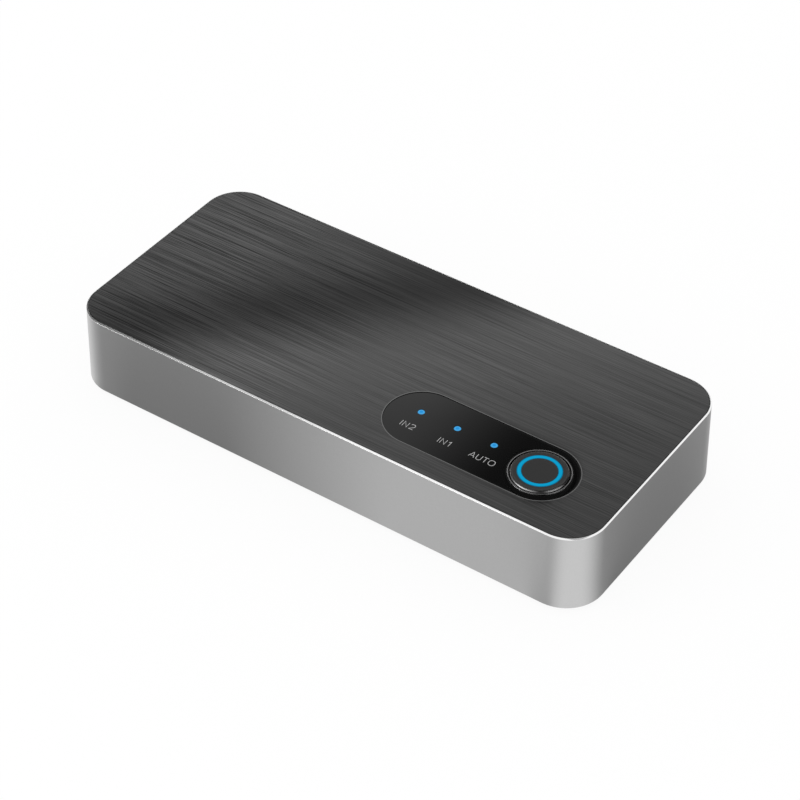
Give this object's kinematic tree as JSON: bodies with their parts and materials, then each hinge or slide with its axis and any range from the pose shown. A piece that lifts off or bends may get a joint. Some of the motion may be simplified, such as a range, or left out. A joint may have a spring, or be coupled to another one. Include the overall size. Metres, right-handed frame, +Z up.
{
  "type": "video switch box",
  "caption": "Flat two-into-one video switch box with a brushed top, a glossy lamp panel, a lit push button and rear sockets.",
  "frame": {"origin": "middle of the footprint, on the plane that the feet rest on", "axes": "+X along the box towards the push button, +Y towards the sockets at the back, +Z up"},
  "size_m": [0.1006, 0.0448, 0.0155],
  "materials": {
    "housing_metal": "satin silver, fine blasted, with a bright cut edge",
    "brushed_plate": "dark anodised, brushed along the box",
    "gloss_panel": "polished black acrylic",
    "bright_ring": "bright",
    "button_plastic": "fine matt",
    "blue_light_guide": "translucent, lit blue",
    "cover_plastic": "fine texture",
    "foot_rubber": "matt",
    "screw_steel": "zinc plated",
    "board_laminate": "solder mask",
    "nickel_shell": "nickel plated",
    "gold_contact": "gold plated",
    "black_insulator": "moulded",
    "chip_epoxy": "moulded epoxy",
    "tinned_lead": "tin plated",
    "can_aluminium": "satin",
    "ceramic": "fired ceramic",
    "lamp_resin": "clear resin"
  },
  "bodies": {
    "case": {"board_screws": "screw_steel", "bottom_cover": "cover_plastic", "button_bezel": "bright_ring", "case_screws": "screw_steel", "chip_capacitors": "ceramic", "circuit_board": "board_laminate", "controller_chip": "chip_epoxy", "controller_chip_leads": "tinned_lead", "crystal": "nickel_shell", "electrolytic_capacitors": "can_aluminium", "foot_back_left": "foot_rubber", "foot_back_right": "foot_rubber", "foot_front_left": "foot_rubber", "foot_front_right": "foot_rubber", "indicator_panel": "gloss_panel", "lamp_auto": "lamp_resin", "lamp_in1": "lamp_resin", "lamp_in2": "lamp_resin", "light_pipe_auto": "blue_light_guide", "light_pipe_in1": "blue_light_guide", "light_pipe_in2": "blue_light_guide", "power_port_contacts": "gold_contact", "power_port_insulator": "black_insulator", "power_port_shell": "nickel_shell", "ring_lamps": "lamp_resin", "surge_arrays": "chip_epoxy", "switch_base": "black_insulator", "switch_chip": "chip_epoxy", "switch_chip_leads": "tinned_lead", "switch_cover": "nickel_shell", "switch_dome": "nickel_shell", "switch_terminals": "tinned_lead", "top_plate": "brushed_plate", "upper_housing": "housing_metal", "video_socket_contacts_in1": "gold_contact", "video_socket_contacts_in2": "gold_contact", "video_socket_contacts_out": "gold_contact", "video_socket_insulator_in1": "black_insulator", "video_socket_insulator_in2": "black_insulator", "video_socket_insulator_out": "black_insulator", "video_socket_shell_in1": "nickel_shell", "video_socket_shell_in2": "nickel_shell", "video_socket_shell_out": "nickel_shell", "voltage_regulator": "chip_epoxy"},
    "button": {"button_cap": "button_plastic", "button_light_guide": "blue_light_guide", "button_centre": "button_plastic"},
    "plunger": {"switch_plunger": "black_insulator"}
  },
  "joints": [
    {"name": "button_press", "type": "slide", "parent": "case", "child": "button", "axis": [0, 0, -1], "range_m": [0, 0.0003], "stiffness_N_per_m": 3000, "springref_m": -0.0002, "deforming": ["switch_dome"]},
    {"name": "plunger_press", "type": "slide", "parent": "case", "child": "plunger", "axis": [0, 0, -1], "range_m": [0, 0.0003], "deforming": ["switch_dome"]}
  ],
  "couplings": [
    {"joint": "plunger_press", "follows": "button_press", "ratio": 1}
  ]
}
